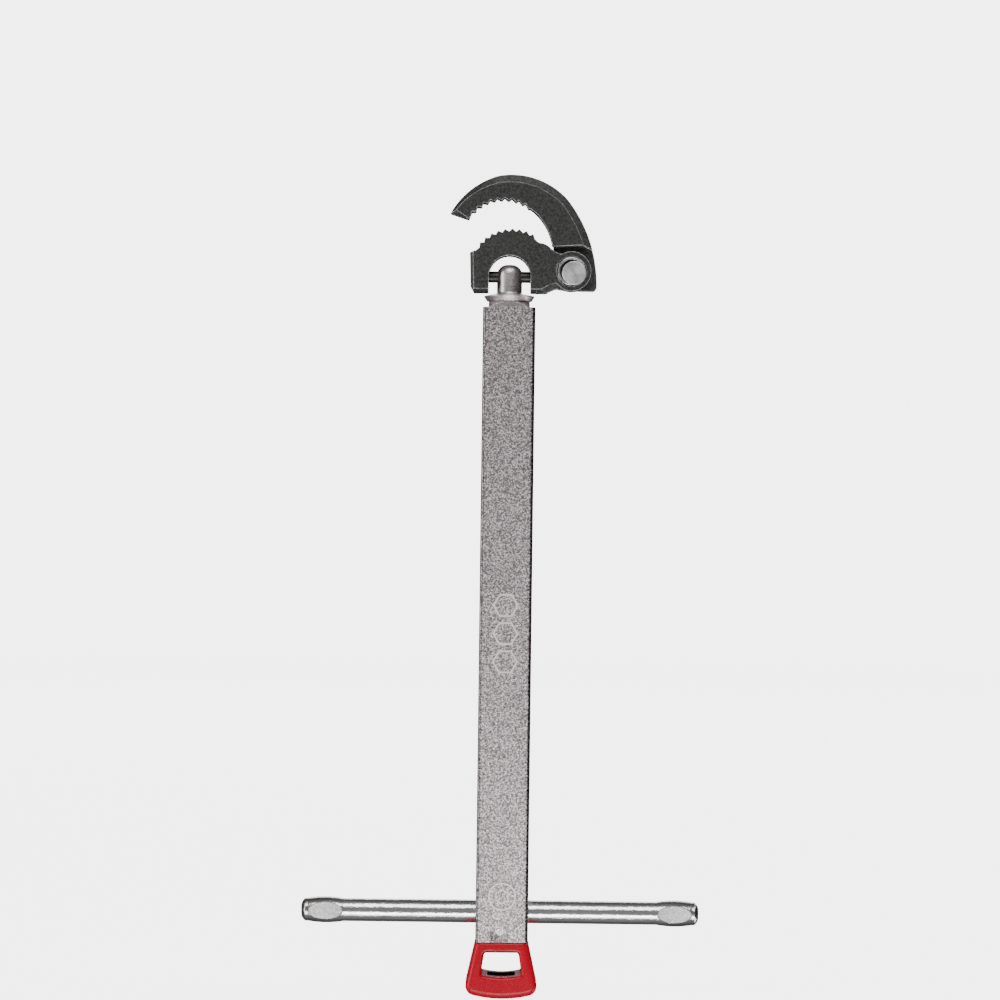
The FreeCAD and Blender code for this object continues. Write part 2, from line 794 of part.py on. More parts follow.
def build_heel_jaw():
    body = new_body("heel_jaw", "pivot_height")
    profile = new_sketch(body, "profile", "XZ_Plane")

    def eye(angle):
        """A point on the round end of the arm, at the angle in degrees."""
        return f"eye_x + eye_radius * cos({angle})", f"eye_z + eye_radius * sin({angle})"

    outline(
        profile,
        [
            ("heel_left + 1.6", "heel_foot"),
            ("-window_half", "heel_foot"),
            ("-window_half", 0.1, "window_half", "right"),
            (0, "0.1 + window_half", "window_half", "right"),
            ("window_half", 0.1),
            ("window_half", "heel_foot"),
            ("arm_start", "heel_foot"),
            ("arm_start + 0.2", "heel_foot + 0.3", "12", "right"),
            (*eye(238), "eye_radius", "left"),
            (*eye(0), "eye_radius", "left"),
            (*eye(121), "7.5", "right"),
            ("arm_top_x + 1.6", "arm_top_z - 1.5"),
            ("arm_top_x", "arm_top_z"),
            ("arm_top_x - 1.5", "arm_top_z + 0.7"),
            ("arm_top_x - 3.3", "arm_top_z + 1.0"),
            ("arm_top_x - 4.6", "arm_top_z + 2.2"),
            *saw_teeth("heel", "heel_arc_radius - tooth_depth"),
            ("heel_left + 2.1", 9.1),
            ("heel_left", 8.3),
            ("heel_left + 0.4", "heel_foot + 2.2"),
        ],
    )
    base = pad(body, profile, "jaw_thickness", symmetric=True)

    def left_edge(edge):
        """The long edges down both faces at the heel's left side."""
        box = edge.BoundBox
        upright = box.ZLength > 8 and box.YLength < 0.01
        return upright and abs(box.XMin - number("heel_left")) < 0.02

    chamfer(body, base, edge_names(base, left_edge), "heel_bevel")
    # the arm's lower edges are bevelled, front and back
    cut_bevel(
        body,
        "arm_bevel",
        [
            ("leg_round_end", -4.3),
            (11.35, -4.2),
            (13.3, -2.95),
            (15.0, -2.25),
            (16.3, -2.1),
            eye(238),
            (18.4, -8),
            ("leg_round_end", -8),
        ],
        [
            ("leg_round_end", "heel_foot - 0.02"),
            ("arm_start", "heel_foot - 0.02"),
            (13.9, -5.05),
            (15.4, -4.4),
            (16.6, -4.1),
            (eye(238)[0], eye(238)[1] + " - 0.03"),
            (18.4, -9),
            ("leg_round_end", -9),
        ],
    )
    # the legs end in a round about the pivot pin, so that they clear the flange as the head tips
    rounding = new_sketch(
        body, "leg_round", "YZ_Plane", shift=(0, 0, "leg_round_end - 2 * jaw_thickness")
    )
    shoulder = "-sqrt(leg_round^2 - jaw_half^2)"
    outline(
        rounding,
        [
            ("-jaw_half", shoulder, "leg_round", "left"),
            ("jaw_half", shoulder),
            ("jaw_half + 2", shoulder),
            ("jaw_half + 2", "-leg_round - 3"),
            ("-jaw_half - 2", "-leg_round - 3"),
            ("-jaw_half - 2", shoulder),
        ],
    )
    pocket(body, rounding, "4 * jaw_thickness", symmetric=True)
    # the slot for the hook's tongue is round about the hinge
    slot = new_sketch(body, "slot", "XZ_Plane")
    circle(slot, "hinge_x", "hinge_z", "slot_radius")
    pocket(body, slot, "2 * slot_half", symmetric=True)
    hinge = new_sketch(body, "hinge", "XZ_Plane")
    circle(hinge, "hinge_x", "hinge_z", "shank_radius")
    pocket(body, hinge, "2 * jaw_thickness", symmetric=True)
    recess = new_sketch(body, "recess", "XZ_Plane", shift=(0, 0, "jaw_half"))
    circle(recess, "recess_x", "recess_z", "recess_radius")
    pocket(body, recess, "jaw_half - recess_floor")
    # the spring's inner leg swings in this curved slot, and its outer leg sits in this notch
    sweep = new_sketch(body, "leg_slot", "XZ_Plane", shift=("hinge_x", "hinge_z", 0))
    first, last = "(leg_angle + 12)", "(leg_angle - 64)"
    near = "(leg_radius - spring_wire / 2 - leg_play)"
    far = "(leg_radius + spring_wire / 2 + leg_play)"
    outline(
        sweep,
        [
            (f"{near} * cos{first}", f"{near} * sin{first}", near, "right"),
            (f"{near} * cos{last}", f"{near} * sin{last}"),
            (f"{far} * cos{last}", f"{far} * sin{last}", far, "left"),
            (f"{far} * cos{first}", f"{far} * sin{first}"),
        ],
    )
    pocket(body, sweep, "jaw_thickness", reverse=True)
    anchor = new_sketch(body, "anchor", "XZ_Plane", shift=("recess_x", "recess_z", "jaw_half"))
    inside = "(spring_radius - spring_wire / 2 - leg_play)"
    outside = "(spring_radius + spring_wire / 2 + leg_play)"
    along = "(anchor_length + leg_play)"

    def beside(radius, run):
        """A point at the radius on the anchor's angle, then a run along the tangent."""
        return (
            f"{radius} * cos(anchor_angle) - {run} * sin(anchor_angle)",
            f"{radius} * sin(anchor_angle) + {run} * cos(anchor_angle)",
        )

    corners = (inside, 0), (outside, 0), (outside, along), (inside, along)
    outline(anchor, [beside(*corner) for corner in corners])
    pocket(body, anchor, "jaw_half - recess_floor")
    pivot = new_sketch(body, "pivot", "YZ_Plane", shift=(0, 0, "heel_left - 1"))
    circle(pivot, 0, 0, "pivot_radius")
    pocket(body, pivot, "pivot_right - heel_left + 1", reverse=True)
    return body


def hook_back(height):
    """A point of the hook's back at the given height."""
    reach = f"sqrt(hook_back_radius^2 - ({height} - hook_back_z)^2)"
    return f"hook_back_x + {reach}", height


def cut_hook_bevel(body):
    """The wide bevel along the hook's back, over its crest and round its tip."""
    over = "bevel_depth * 0.02"

    def beside_back(height):
        return f"{hook_back(height)[0]} + {over}", height

    face = [
        ("hook_face_x", "step_height - 3"),
        ("hook_face_x", "step_height + 0.9", "hook_back_radius - bevel_width", "left"),
        (18.05, 25.45, "hook_top_radius - bevel_width / 2", "left"),
        (-4.2, "hook_crest - bevel_width", "hook_tip_radius - 2", "left"),
        ("hook_tip_x + 1.9", "hook_tip_z + 1.1"),
        (-14.9, 20.4),
        (-14.9, 16),
        (-30, 16),
        (-30, 42),
        (40, 42),
        (40, "step_height - 3"),
    ]
    foot = [
        beside_back("step_height - 3"),
        (*beside_back("step_height + 0.9"), "hook_back_radius", "left"),
        (*beside_back("27.05"), "hook_top_radius", "left"),
        (-4.3, f"hook_crest + {over}", "hook_tip_radius", "left"),
        (f"hook_tip_x - {over}", "hook_tip_z"),
        (-15.7, 20.17),
        (-15.7, 15),
        (-31, 15),
        (-31, 43),
        (41, 43),
        (41, "step_height - 3"),
    ]
    return cut_bevel(body, "bevel", face, foot)


def build_hook_jaw():
    body = new_body("hook_jaw", "pivot_height")
    profile = new_sketch(body, "profile", "XZ_Plane")
    outline(
        profile,
        [
            (13.2, -5.4),
            (14.9, -4.5, "3.5", "right"),
            (16.8, -4.2),
            (19.6, -4.7),
            (hook_back("-3.2")[0] + " - hook_corner", "-4.8", "hook_corner", "left"),
            (*hook_back("-3.2"), "hook_back_radius", "left"),
            (*hook_back("27.05"), "hook_top_radius", "left"),
            (-4.3, "hook_crest", "hook_tip_radius", "left"),
            ("hook_tip_x", "hook_tip_z"),
            (-15.7, 20.2),
            (-14.35, 20.0),
            *reversed(saw_teeth("hook", "hook_arc_radius + tooth_depth")),
            (
                "hook_arc_x + hook_arc_radius * cos(48.5)",
                "hook_arc_z + (hook_arc_radius + 0.9) * sin(48.5)",
                "hook_inner_radius",
                "right",
            ),
            (14.7, "step_height + 0.5"),
            (15.2, "step_height"),
        ],
    )
    pad(body, profile, "jaw_thickness", symmetric=True)
    cut_hook_bevel(body)
    # below the step the hook is milled to a tongue, front and back
    side = new_sketch(body, "tongue", "XZ_Plane", shift=(0, 0, "tongue_half"))
    outline(
        side,
        [
            (10, -9),
            (36, -9),
            (36, "step_height - 1.2"),
            (28.6, "step_height - 1.2"),
            (25.5, "step_height + 0.45"),
            (10, "step_height - 0.45"),
        ],
    )
    front = pocket(body, side, "jaw_thickness", reverse=True)
    mirrored(body, [front], "XZ_Plane")
    hinge = new_sketch(body, "hinge", "XZ_Plane")
    circle(hinge, "hinge_x", "hinge_z", "shank_radius + hinge_gap")
    pocket(body, hinge, "2 * jaw_thickness", symmetric=True)
    leg_hole = new_sketch(body, "leg_hole", "XZ_Plane", shift=("hinge_x", "hinge_z", "tongue_half"))
    leg_place = "leg_radius * cos(leg_angle)", "leg_radius * sin(leg_angle)"
    circle(leg_hole, *leg_place, "spring_wire / 2 + leg_play / 2")
    pocket(body, leg_hole, "tongue_half")
    return body


def build_jaw_hinge():
    """The riveted hinge pin, its washer at the back and the torsion spring under its head."""
    pin = new_body("jaw_pivot_pin", "pivot_height")
    profile = new_sketch(pin, "profile", "XY_Plane")
    # drawn beside the pin's own axis, then revolved about it
    pin.setExpression(".Placement.Base.x", cells("hinge_x"))
    pin.setExpression(".Placement.Base.z", cells("pivot_height + hinge_z"))
    head, back = "(-jaw_half - pin_head_gap)", "(jaw_half + washer_thickness)"
    outline(
        profile,
        [
            (0, f"{head} - pin_head_height"),
            ("pin_head_radius - 0.35", f"{head} - pin_head_height", "0.4", "left"),
            ("pin_head_radius", f"{head} - pin_head_height + 0.35"),
            ("pin_head_radius", head),
            ("shoulder_radius", head),
            ("shoulder_radius", "-recess_floor"),
            ("shank_radius", "-recess_floor"),
            ("shank_radius", back),
            ("rivet_radius", back),
            ("rivet_radius", f"{back} + 0.3", "2.6", "left"),
            ("rivet_radius / 2", f"{back} + rivet_height"),
            (0, f"{back} + rivet_height"),
        ],
    )
    turned(pin, "Revolution", profile, "V_Axis")
    washer = new_body("jaw_pin_washer", "pivot_height + hinge_z")
    washer.setExpression(".Placement.Base.x", cells("hinge_x"))
    ring = new_sketch(washer, "ring", "XZ_Plane", shift=(0, 0, "-jaw_half - washer_thickness"))
    circle(ring, 0, 0, "washer_radius")
    circle(ring, 0, 0, "shank_radius")
    pad(washer, ring, "washer_thickness")
    return [pin, washer]


def spring_path():
    """The torsion spring's centre line, with the coil's axis along Z: up the inner leg, round the
    bend into the coil, and off along the tangent into the outer leg."""
    radius, bend = number("spring_radius"), number("spring_wire")
    pitch, sweep = number("spring_pitch"), number("360 * spring_turns")
    reach = number("ear_floor + tongue_half - 0.3")
    points = [FreeCAD.Vector(radius, 0, -height) for height in (reach, (reach + bend) / 2)]
    for angle in (0, 30, 60):
        turn = math.radians(angle)
        across, below = bend * (1 - math.cos(turn)), bend * (1 - math.sin(turn))
        points.append(FreeCAD.Vector(radius, across, -below))
    steps = round(sweep / 24)
    first = math.degrees(math.asin(bend / radius))
    for step in range(steps + 1):
        angle = first + (sweep - first) * step / steps
        turn = math.radians(angle)
        lift = pitch * (angle - first) / 360
        points.append(FreeCAD.Vector(radius * math.cos(turn), radius * math.sin(turn), lift))
    tangent = FreeCAD.Vector(-math.sin(turn), math.cos(turn), 0)
    end = points[-1]
    length = number("anchor_length")
    points += [end + tangent * (length * part / 3) for part in (1, 2, 3)]
    curve = Part.BSplineCurve()
    curve.interpolate(points)
    return Part.Wire([curve.toShape()])


def build_jaw_spring():
    """A torsion coil with one leg in the hook's tongue and the other in a notch in the ear."""
    path = spring_path()
    start = path.Edges[0].Vertexes[0].Point
    ring = Part.Circle(start, FreeCAD.Vector(0, 0, 1), number("spring_wire / 2"))
    spring = doc.addObject("Part::Feature", "jaw_spring")
    spring.Shape = path.makePipeShell([Part.Wire([ring.toShape()])], True, False)
    stand = FreeCAD.Rotation(FreeCAD.Vector(1, 0, 0), 90)
    wind = FreeCAD.Rotation(FreeCAD.Vector(0, 0, 1), number("leg_angle"))
    middle = ("recess_x", "-recess_floor - 0.05 - spring_wire / 2", "pivot_height + recess_z")
    place_at = FreeCAD.Vector(*(number(expression) for expression in middle))
    spring.Placement = FreeCAD.Placement(place_at, stand.multiply(wind))
    return spring


def build_head_pivot_pin():
    pin = new_body("head_pivot_pin", "pivot_height")
    profile = new_sketch(pin, "profile", "XZ_Plane")
    outline(
        profile,
        [
            ("pivot_left", 0),
            ("pivot_right", 0),
            ("pivot_right", "pivot_radius - 0.3"),
            ("pivot_right - 0.3", "pivot_radius"),
            ("pivot_left + 0.3", "pivot_radius"),
            ("pivot_left", "pivot_radius - 0.3"),
        ],
    )
    turned(pin, "Revolution", profile, "H_Axis")
    return pin


def check_document():
    """Every object has to be computed, and every object's shape valid."""
    doc.recompute()
    failed = [item.Label for item in doc.Objects if {"Invalid", "Error"} & set(item.State)]
    if failed:
        raise RuntimeError(f"not computed: {failed}")


def write_parts(nodes):
    os.makedirs("parts", exist_ok=True)
    for node in nodes:
        shape = node.Shape
        if shape.isNull() or not shape.isValid() or not shape.Solids:
            raise RuntimeError(f"{node.Label} has no valid solid")
        shape.exportStep(f"parts/{node.Label}.step")
        print(f"{node.Label}: {len(shape.Solids)} solid, {shape.Volume:.1f} mm3")


parts = [
    build_outer_tube(),
    build_extension_bar(),
    *build_detent(),
    build_t_bar(),
    *build_t_bar_friction(),
    build_loop_core(),
    build_loop_grip(),
    build_heel_jaw(),
    build_hook_jaw(),
    *build_jaw_hinge(),
    build_jaw_spring(),
    build_head_pivot_pin(),
]
check_document()
write_parts(parts)
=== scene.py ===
import bpy
import math
from mathutils import Matrix, Vector


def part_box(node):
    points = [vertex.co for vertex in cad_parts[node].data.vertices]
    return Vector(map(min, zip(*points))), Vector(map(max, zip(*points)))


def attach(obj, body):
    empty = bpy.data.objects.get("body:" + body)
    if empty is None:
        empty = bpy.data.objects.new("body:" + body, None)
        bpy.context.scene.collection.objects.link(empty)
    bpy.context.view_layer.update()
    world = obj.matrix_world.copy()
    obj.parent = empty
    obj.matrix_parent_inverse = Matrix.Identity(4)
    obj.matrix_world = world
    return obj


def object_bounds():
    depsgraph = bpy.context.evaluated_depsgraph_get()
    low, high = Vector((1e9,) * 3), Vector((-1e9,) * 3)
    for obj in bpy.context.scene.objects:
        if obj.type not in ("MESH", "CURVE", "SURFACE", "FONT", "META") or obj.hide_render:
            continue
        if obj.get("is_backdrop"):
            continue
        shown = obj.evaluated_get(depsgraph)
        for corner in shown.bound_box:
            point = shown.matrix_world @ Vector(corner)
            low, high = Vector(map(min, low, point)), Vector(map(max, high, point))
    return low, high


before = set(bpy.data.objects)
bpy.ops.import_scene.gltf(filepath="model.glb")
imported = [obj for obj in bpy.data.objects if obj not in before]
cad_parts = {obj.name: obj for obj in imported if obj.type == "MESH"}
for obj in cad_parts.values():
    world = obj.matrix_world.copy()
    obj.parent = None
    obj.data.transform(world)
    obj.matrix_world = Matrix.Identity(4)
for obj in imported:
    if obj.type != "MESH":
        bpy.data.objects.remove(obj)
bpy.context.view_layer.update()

scene = bpy.context.scene

# Sizes are in metres, in the CAD's frame: X to the right, Y to the back, Z up the tool.
DRIVE_HALF = 0.00481        # half the square drive hole, a hair outside its walls
WINDOW_FLOOR = 0.0090       # just above the window's floor, where the drive hole opens
CORNER_START = 0.0080       # where the tube's rounded corners begin, from its axis
CORNER_FULL = 0.0083
BAR_RADIUS = 0.004          # the T-bar, and the swelling that the dies leave at each end
SWELL_RISE = 0.00055
SWELL_MIDDLE = 0.0609
SWELL_HALF = 0.0062
MARK_PROUD = 0.00003        # how far the etched outlines stand off the tube
NUT_RADIUS, NUT_LINE = 0.0042, 0.0007
FIRST_NUT_Z, NUT_PITCH, NUT_COUNT = 0.1173, 0.0098, 3
CIRCLE_Z = 0.0357
CIRCLE_RADIUS, CIRCLE_LINE = 0.0046, 0.0005
SMALL_NUT_RADIUS, SMALL_NUT_LINE = 0.0024, 0.00045
FLOOR_RADIUS = 3.0
FLOOR_FADE = (0.5, 2.8)     # the floor is whole inside the first radius and gone at the second
SENSOR_WIDTH = 36.0         # millimetres, as the camera's lens is
VIEW_WIDTH = 0.350
VIEW_DISTANCE = 1.2
VIEW_CENTRE = (-0.0024, 0.1735)
VIEW_LEAN = 0.71            # degrees
BACKDROP_GLOW = 5.0
FLOOR_GLOW = 4.3

# Soft boxes: name, width and height, watts, place, and the point that each one faces.
LIGHTS = (
    ("upper_box", (1.4, 1.1), 21, (0.0, -1.4, 1.92), (0, 0, 0.15)),
    ("lower_box", (1.4, 0.72), 7.5, (0.0, -1.2, -0.90), (0, 0, 0.1)),
    ("foot_glow", (0.5, 0.14), 1.5, (0.0, -0.42, -0.19), (0, 0, 0.03)),
    ("left_box", (0.45, 1.4), 9.5, (-1.5, -0.55, 0.25), (0, 0, 0.15)),
    ("right_box", (1.1, 1.1), 13, (1.5, 0.1, 1.7), (0, 0, 0.15)),
    ("right_fill", (1.1, 0.6), 6, (1.4, 0.1, -0.9), (0, 0, 0.1)),
    ("back_box", (2.4, 0.9), 15, (0.2, 1.9, 1.0), (0, 0, 0.15)),
)


class Shader:
    """A material's node tree, with a short call for each kind of node that the finishes use."""

    def __init__(self, name):
        self.material = bpy.data.materials.new(name)
        self.material.use_nodes = True
        self.tree = self.material.node_tree
        self.tree.nodes.clear()
        self.place = self.node("ShaderNodeTexCoord").outputs["Object"]

    def node(self, kind, **settings):
        made = self.tree.nodes.new(kind)
        for name, value in settings.items():
            setattr(made, name, value)
        return made

    def feed(self, socket, value):
        """Links a socket's output, or sets a number or a colour."""
        if isinstance(value, bpy.types.NodeSocket):
            self.tree.links.new(value, socket)
        elif isinstance(value, (int, float)) and hasattr(socket.default_value, "__len__"):
            socket.default_value = [value] * 3 + [1.0] * (len(socket.default_value) - 3)
        elif isinstance(value, tuple) and len(socket.default_value) == 4:
            socket.default_value = (*value[:3], 1.0)
        else:
            socket.default_value = value

    def math(self, operation, first, second=0.0, clamp=False):
        made = self.node("ShaderNodeMath", operation=operation, use_clamp=clamp)
        self.feed(made.inputs[0], first)
        self.feed(made.inputs[1], second)
        return made.outputs[0]

    def stretch(self, scale, place=None):
        made = self.node("ShaderNodeMapping")
        self.feed(made.inputs["Vector"], place or self.place)
        made.inputs["Scale"].default_value = scale
        return made.outputs[0]

    def along_x(self, value):
        """A vector with the value along X, to draw noise that changes with one number only."""
        made = self.node("ShaderNodeCombineXYZ")
        self.feed(made.inputs[0], value)
        return made.outputs[0]

    def noise(self, scale, detail=2.0, rough=0.5, place=None):
        """Noise with this many swells to the metre, from 0 to 1."""
        made = self.node("ShaderNodeTexNoise")
        self.feed(made.inputs["Vector"], place or self.place)
        made.inputs["Scale"].default_value = scale
        made.inputs["Detail"].default_value = detail
        made.inputs["Roughness"].default_value = rough
        return made.outputs["Fac"]

    def specks(self, size):
        """A random level for each speck of this size, from 0 to 1."""
        made = self.node("ShaderNodeTexVoronoi", feature="F1")
        self.feed(made.inputs["Vector"], self.place)
        made.inputs["Scale"].default_value = 1 / size
        parts = self.node("ShaderNodeSeparateColor")
        self.feed(parts.inputs[0], made.outputs["Color"])
        return parts.outputs[0]

    def span(self, value, low, high, to_low=0.0, to_high=1.0):
        """The value mapped from low..high to to_low..to_high, and held at the ends."""
        made = self.node("ShaderNodeMapRange", clamp=True)
        for socket, number in zip(made.inputs[:5], (value, low, high, to_low, to_high)):
            self.feed(socket, number)
        return made.outputs["Result"]

    def mix(self, share, first, second, blend="MIX"):
        made = self.node("ShaderNodeMix", data_type="RGBA", blend_type=blend)
        self.feed(made.inputs["Factor"], share)
        self.feed(made.inputs["A"], first)
        self.feed(made.inputs["B"], second)
        return made.outputs["Result"]

    def bump(self, height, depth, strength=1.0, normal=None):
        made = self.node("ShaderNodeBump")
        made.inputs["Distance"].default_value = depth
        made.inputs["Strength"].default_value = strength
        self.feed(made.inputs["Height"], height)
        if normal is not None:
            self.feed(made.inputs["Normal"], normal)
        return made.outputs["Normal"]

    def soft_normal(self, radius):
        """The surface's normal, rounded over its sharp edges."""
        made = self.node("ShaderNodeBevel", samples=6)
        made.inputs["Radius"].default_value = radius
        return made.outputs["Normal"]

    def edges(self, radius, low=0.02, high=0.25):
        """1 on sharp edges and 0 elsewhere: where the rounded normal leaves the true one."""
        true = self.node("ShaderNodeNewGeometry").outputs["Normal"]
        dot = self.node("ShaderNodeVectorMath", operation="DOT_PRODUCT")
        self.feed(dot.inputs[0], true)
        self.feed(dot.inputs[1], self.soft_normal(radius))
        return self.span(self.math("SUBTRACT", 1.0, dot.outputs["Value"]), low, high)

    def parts(self, vector):
        made = self.node("ShaderNodeSeparateXYZ")
        self.feed(made.inputs[0], vector)
        return made.outputs

    def length(self, vector):
        made = self.node("ShaderNodeVectorMath", operation="LENGTH")
        self.feed(made.inputs[0], vector)
        return made.outputs["Value"]

    def shifted(self, centre):
        """The place, measured from this point."""
        made = self.node("ShaderNodeVectorMath", operation="SUBTRACT")
        self.feed(made.inputs[0], self.place)
        made.inputs[1].default_value = centre
        return made.outputs[0]

    def distances_across(self):
        """How far the place is from the tool's axis along X and along Y, without sign."""
        parts = self.parts(self.place)
        return [self.math("ABSOLUTE", parts[axis]) for axis in ("X", "Y")]

    def finish(self, colour, metal, rough, normal=None, specular=0.5):
        made = self.node("ShaderNodeBsdfPrincipled")
        self.feed(made.inputs["Base Color"], colour)
        self.feed(made.inputs["Metallic"], metal)
        self.feed(made.inputs["Roughness"], rough)
        self.feed(made.inputs["Specular IOR Level"], specular)
        if normal is not None:
            self.feed(made.inputs["Normal"], normal)
        out = self.node("ShaderNodeOutputMaterial")
        self.tree.links.new(made.outputs[0], out.inputs["Surface"])
        return self.material


def blasted_steel(name, tone=0.55, grain=1.0, rough=0.50, painted_dark_corners=0.0):
    """Bead-blasted plated steel: a light grey metal with a sparkle of under half a millimetre.
    The upright rounded corners can be painted darker, as a painted dark reflection, and made
    smoother."""
    s = Shader(name)
    specks = s.specks(0.00037)
    coarse = s.noise(2500, 1.5, 0.6)
    fine = s.noise(4600, 1.0, 0.5)
    cloud = s.noise(45, 2.0, 0.5)
    sparkle = s.span(s.math("POWER", specks, 2), 0.0, 1.0, 1.0 - 0.55 * grain, 1.0 + 1.1 * grain)
    swell = s.span(coarse, 0.35, 0.65, 1.0 - 0.24 * grain, 1.0 + 0.24 * grain)
    shade = s.math("MULTIPLY", sparkle, swell)
    shade = s.math("MULTIPLY", shade, s.span(cloud, 0.3, 0.7, 0.97, 1.03))
    level = s.math("MULTIPLY", shade, s.span(s.edges(0.0003), 0.0, 1.0, 1.0, 1.45))
    # Painted dark reflection: the rounded corners are darkened in colour, and their roughness is
    # lowered.
    across = s.math("MINIMUM", *s.distances_across())
    corner = s.span(across, CORNER_START, CORNER_FULL, 0.0, painted_dark_corners)
    level = s.math("MULTIPLY", level, s.math("SUBTRACT", 1.0, corner))
    colour = s.mix(1.0, (tone, tone * 0.905, tone * 0.918), level, "MULTIPLY")
    glint = s.span(fine, 0.35, 0.65, rough - 0.08, rough + 0.12)
    glint = s.math("SUBTRACT", glint, s.math("MULTIPLY", corner, 0.4))
    normal = s.bump(coarse, 0.00005, 0.7 * grain, s.soft_normal(0.00015))
    normal = s.bump(fine, 0.00002, 0.5 * grain, normal)
    return s.finish(colour, 1.0, glint, normal)


def black_jaw(name):
    """Phosphated forging: near black with a fine grain, rubbed bright along its sharp edges."""
    s = Shader(name)
    coarse = s.noise(1500, 3.0, 0.65)
    fine = s.noise(4500, 1.0, 0.5)
    cloud = s.noise(90, 3.0, 0.6)
    patch = s.noise(1700, 2.0, 0.7)
    rim = s.math("MULTIPLY", s.edges(0.0005, 0.004, 0.07), s.span(patch, 0.38, 0.56, 0.3, 1.0))
    skin = s.mix(s.span(coarse, 0.36, 0.64), (0.018, 0.019, 0.018), (0.078, 0.079, 0.076))
    skin = s.mix(s.span(s.specks(0.0005), 0.55, 1.0, 0.0, 0.5), skin, (0.12, 0.121, 0.117))
    skin = s.mix(s.span(cloud, 0.35, 0.7, 0.0, 0.35), skin, (0.056, 0.055, 0.052))
    colour = s.mix(rim, skin, (0.75, 0.75, 0.74))
    normal = s.bump(coarse, 0.00004, 0.7, s.soft_normal(0.0002))
    normal = s.bump(fine, 0.00002, 0.5, normal)
    rough = s.span(fine, 0.3, 0.7, 0.44, 0.62)
    return s.finish(colour, s.span(rim, 0.0, 1.0, 0.5, 0.9), rough, normal)


def turned_steel(name, centre):
    """A lathe-faced pin: fine rings about its own axis, which runs along Y, crossed by two pale
    fans
    painted into its colour: the painted highlight that light makes on a turned face."""
    s = Shader(name)
    flat = s.stretch((1, 0, 1), s.shifted(centre))
    rings = s.noise(5200, 1.0, 0.5, s.along_x(s.length(flat)))
    parts = s.parts(flat)
    # Painted highlight: pale and dark fans at a fixed turn about the pin, set into the colour.
    angle = s.math("ARCTAN2", parts["Z"], parts["X"])
    fans = s.math("SINE", s.math("ADD", s.math("MULTIPLY", angle, 2.0), 0.5))
    blotch = s.noise(420, 3.0, 0.6)
    scuff = s.noise(2600, 2.0, 0.6)
    level = s.span(blotch, 0.3, 0.7, 0.74, 1.16)
    level = s.math("MULTIPLY", level, s.span(rings, 0.3, 0.7, 0.86, 1.12))
    level = s.math("MULTIPLY", level, s.span(fans, -1.0, 1.0, 0.72, 1.10))
    colour = s.mix(1.0, (1.0, 0.985, 0.985), level, "MULTIPLY")
    normal = s.bump(rings, 0.00002, 0.5, s.soft_normal(0.0002))
    normal = s.bump(scuff, 0.000015, 0.5, normal)
    return s.finish(colour, 1.0, s.span(scuff, 0.3, 0.7, 0.41, 0.58), normal)


def wire_steel(name, tone=0.55):
    """Bright plated steel with faint drawing marks, as on the springs, balls and washer."""
    s = Shader(name)
    marks = s.noise(3000, 2.0, 0.6)
    colour = s.mix(s.span(marks, 0.3, 0.7), (tone * 0.8,) * 3, (tone * 1.1,) * 3)
    return s.finish(colour, 1.0, s.span(marks, 0.3, 0.7, 0.22, 0.36), s.bump(marks, 0.00001, 0.5))


def dark_steel(name, tone=0.055, rough=0.4):
    """Oiled black oxide, as on the screw and the plain pins."""
    s = Shader(name)
    grain = s.noise(2200, 3.0, 0.6)
    cloud = s.noise(160, 3.0, 0.6)
    edge = s.math("MULTIPLY", s.edges(0.0002), s.span(grain, 0.4, 0.65))
    warm = (tone * 1.3, tone * 1.22, tone * 1.15)
    skin = s.mix(s.span(cloud, 0.3, 0.7), (tone * 0.75,) * 3, warm)
    colour = s.mix(edge, skin, (0.32, 0.31, 0.30))
    normal = s.bump(grain, 0.00002, 0.6, s.soft_normal(0.00015))
    return s.finish(colour, 0.8, s.span(grain, 0.3, 0.7, rough - 0.08, rough + 0.12), normal)


